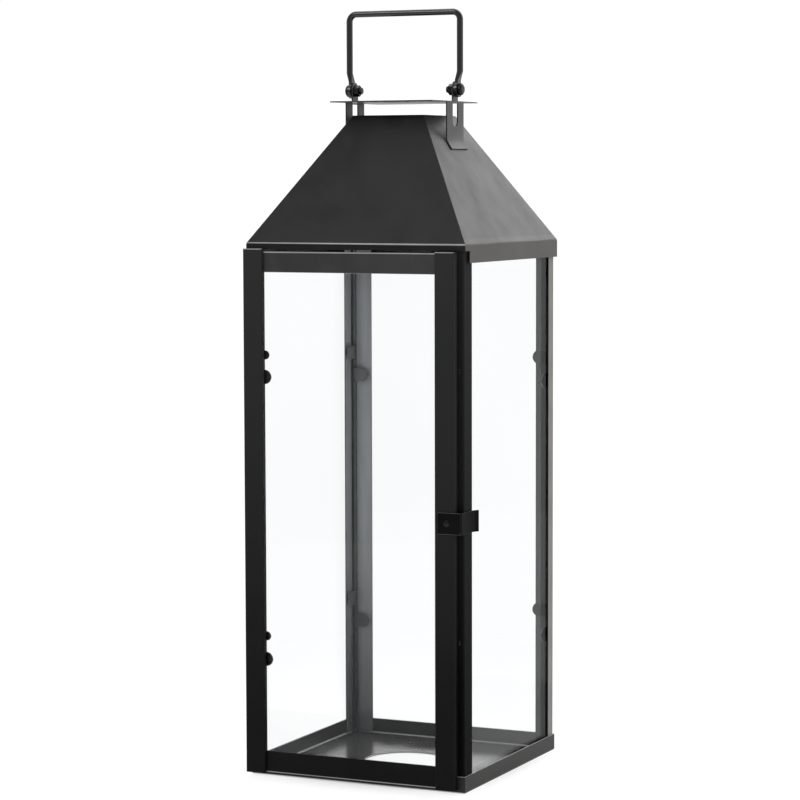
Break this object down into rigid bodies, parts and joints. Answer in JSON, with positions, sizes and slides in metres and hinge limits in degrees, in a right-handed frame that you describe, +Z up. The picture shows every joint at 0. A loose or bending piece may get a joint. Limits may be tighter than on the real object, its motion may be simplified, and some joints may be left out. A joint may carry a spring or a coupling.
{
  "type": "hurricane candle lantern",
  "caption": "Tall square sheet-metal candle lantern with a pyramid roof, raised smoke cap, clear glass panes, hinged front door with a spring latch and a swinging wire bail.",
  "frame": {"origin": "centre of the tray's underside, on the surface the lantern stands on", "axes": "+Z up, the door faces -Y, the door hinge is on the -X side and the latch on the +X side"},
  "size_m": [0.1874, 0.1912, 0.595],
  "materials": {
    "black_powder_coat": "satin black powder coat on sheet steel",
    "blackened_fastener": "blackened steel, slightly worn",
    "clear_glass": "clear polished sheet glass"
  },
  "bodies": {
    "lantern": {"base_tray": "black_powder_coat", "post_front_left": "black_powder_coat", "post_front_right": "black_powder_coat", "post_back_left": "black_powder_coat", "post_back_right": "black_powder_coat", "glass_left": "clear_glass", "glass_right": "clear_glass", "glass_back": "clear_glass", "roof_shell": "black_powder_coat", "smoke_cap": "black_powder_coat", "handle_bracket_left": "black_powder_coat", "handle_bracket_right": "black_powder_coat", "pivot_bolt_left": "blackened_fastener", "pivot_bolt_right": "blackened_fastener", "pivot_nut_left": "blackened_fastener", "pivot_nut_right": "blackened_fastener", "frame_hinge_top": "black_powder_coat", "frame_hinge_bottom": "black_powder_coat", "hinge_pin_top": "blackened_fastener", "hinge_pin_bottom": "blackened_fastener"},
    "door": {"door_stile_hinge": "black_powder_coat", "door_stile_latch": "black_powder_coat", "door_rail_top": "black_powder_coat", "door_rail_bottom": "black_powder_coat", "door_glass": "clear_glass", "latch_plate": "black_powder_coat", "latch_rivet": "blackened_fastener", "door_hinge_top": "black_powder_coat", "door_hinge_bottom": "black_powder_coat"},
    "latch_spring": {"latch_arm": "black_powder_coat"},
    "bail": {"bail_handle": "black_powder_coat"}
  },
  "joints": [
    {"name": "door_hinge", "type": "hinge", "parent": "lantern", "child": "door", "pos_m": [-0.0916, -0.0926, 0.2068], "axis": [0, 0, -1], "range_deg": [0, 110]},
    {"name": "latch_flex", "type": "hinge", "parent": "door", "child": "latch_spring", "pos_m": [0.0909, -0.0979, 0.206], "axis": [0, 0, -1], "range_deg": [0, 8], "stiffness_Nm_per_rad": 1.2},
    {"name": "bail_pivot", "type": "hinge", "parent": "lantern", "child": "bail", "pos_m": [0, 0, 0.5325], "axis": [1, 0, 0], "range_deg": [-130, 130]}
  ]
}
